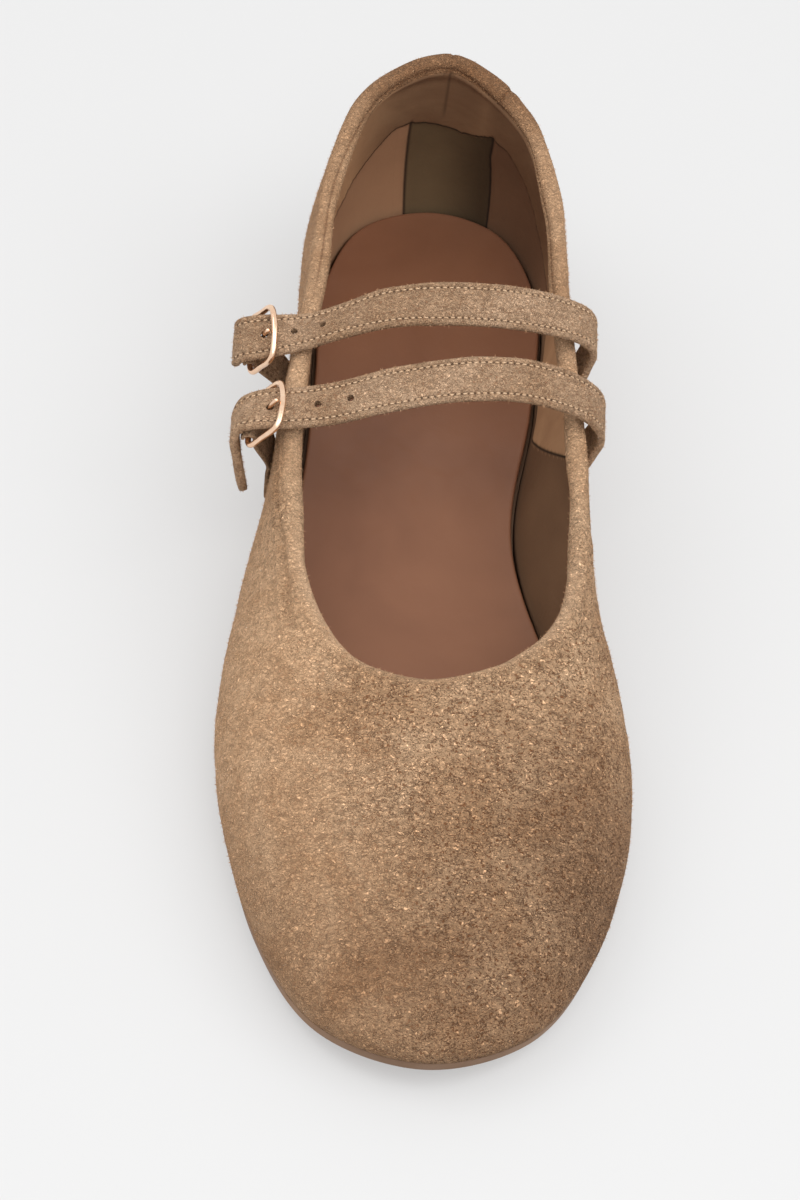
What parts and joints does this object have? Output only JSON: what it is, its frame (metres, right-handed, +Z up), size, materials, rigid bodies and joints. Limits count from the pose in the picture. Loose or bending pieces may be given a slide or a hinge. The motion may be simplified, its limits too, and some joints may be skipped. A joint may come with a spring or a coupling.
{
  "type": "ballet flat",
  "caption": "Ballet flat with buckled straps over the instep, a soft suede upper, a round toe, a padded topline and a low heel.",
  "frame": {"origin": "on the floor, under the middle of the heel's seat", "axes": "+Z up, -Y towards the toe, +X towards the inner side of the foot"},
  "size_m": [0.0914, 0.2484, 0.0692],
  "materials": {
    "suede": "napped, matt",
    "insole_leather": "smooth, satin",
    "sole_leather": "smooth, matt",
    "rosy_metal": "polished, plated"
  },
  "bodies": {
    "root": {"outsole": "sole_leather", "heel": "sole_leather", "insole": "insole_leather", "upper": "suede", "strap_rear": "suede", "tab_rear": "suede", "buckle_rear": "rosy_metal", "prong_rear": "rosy_metal", "strap_front": "suede", "tab_front": "suede", "buckle_front": "rosy_metal", "prong_front": "rosy_metal"}
  },
  "joints": []
}
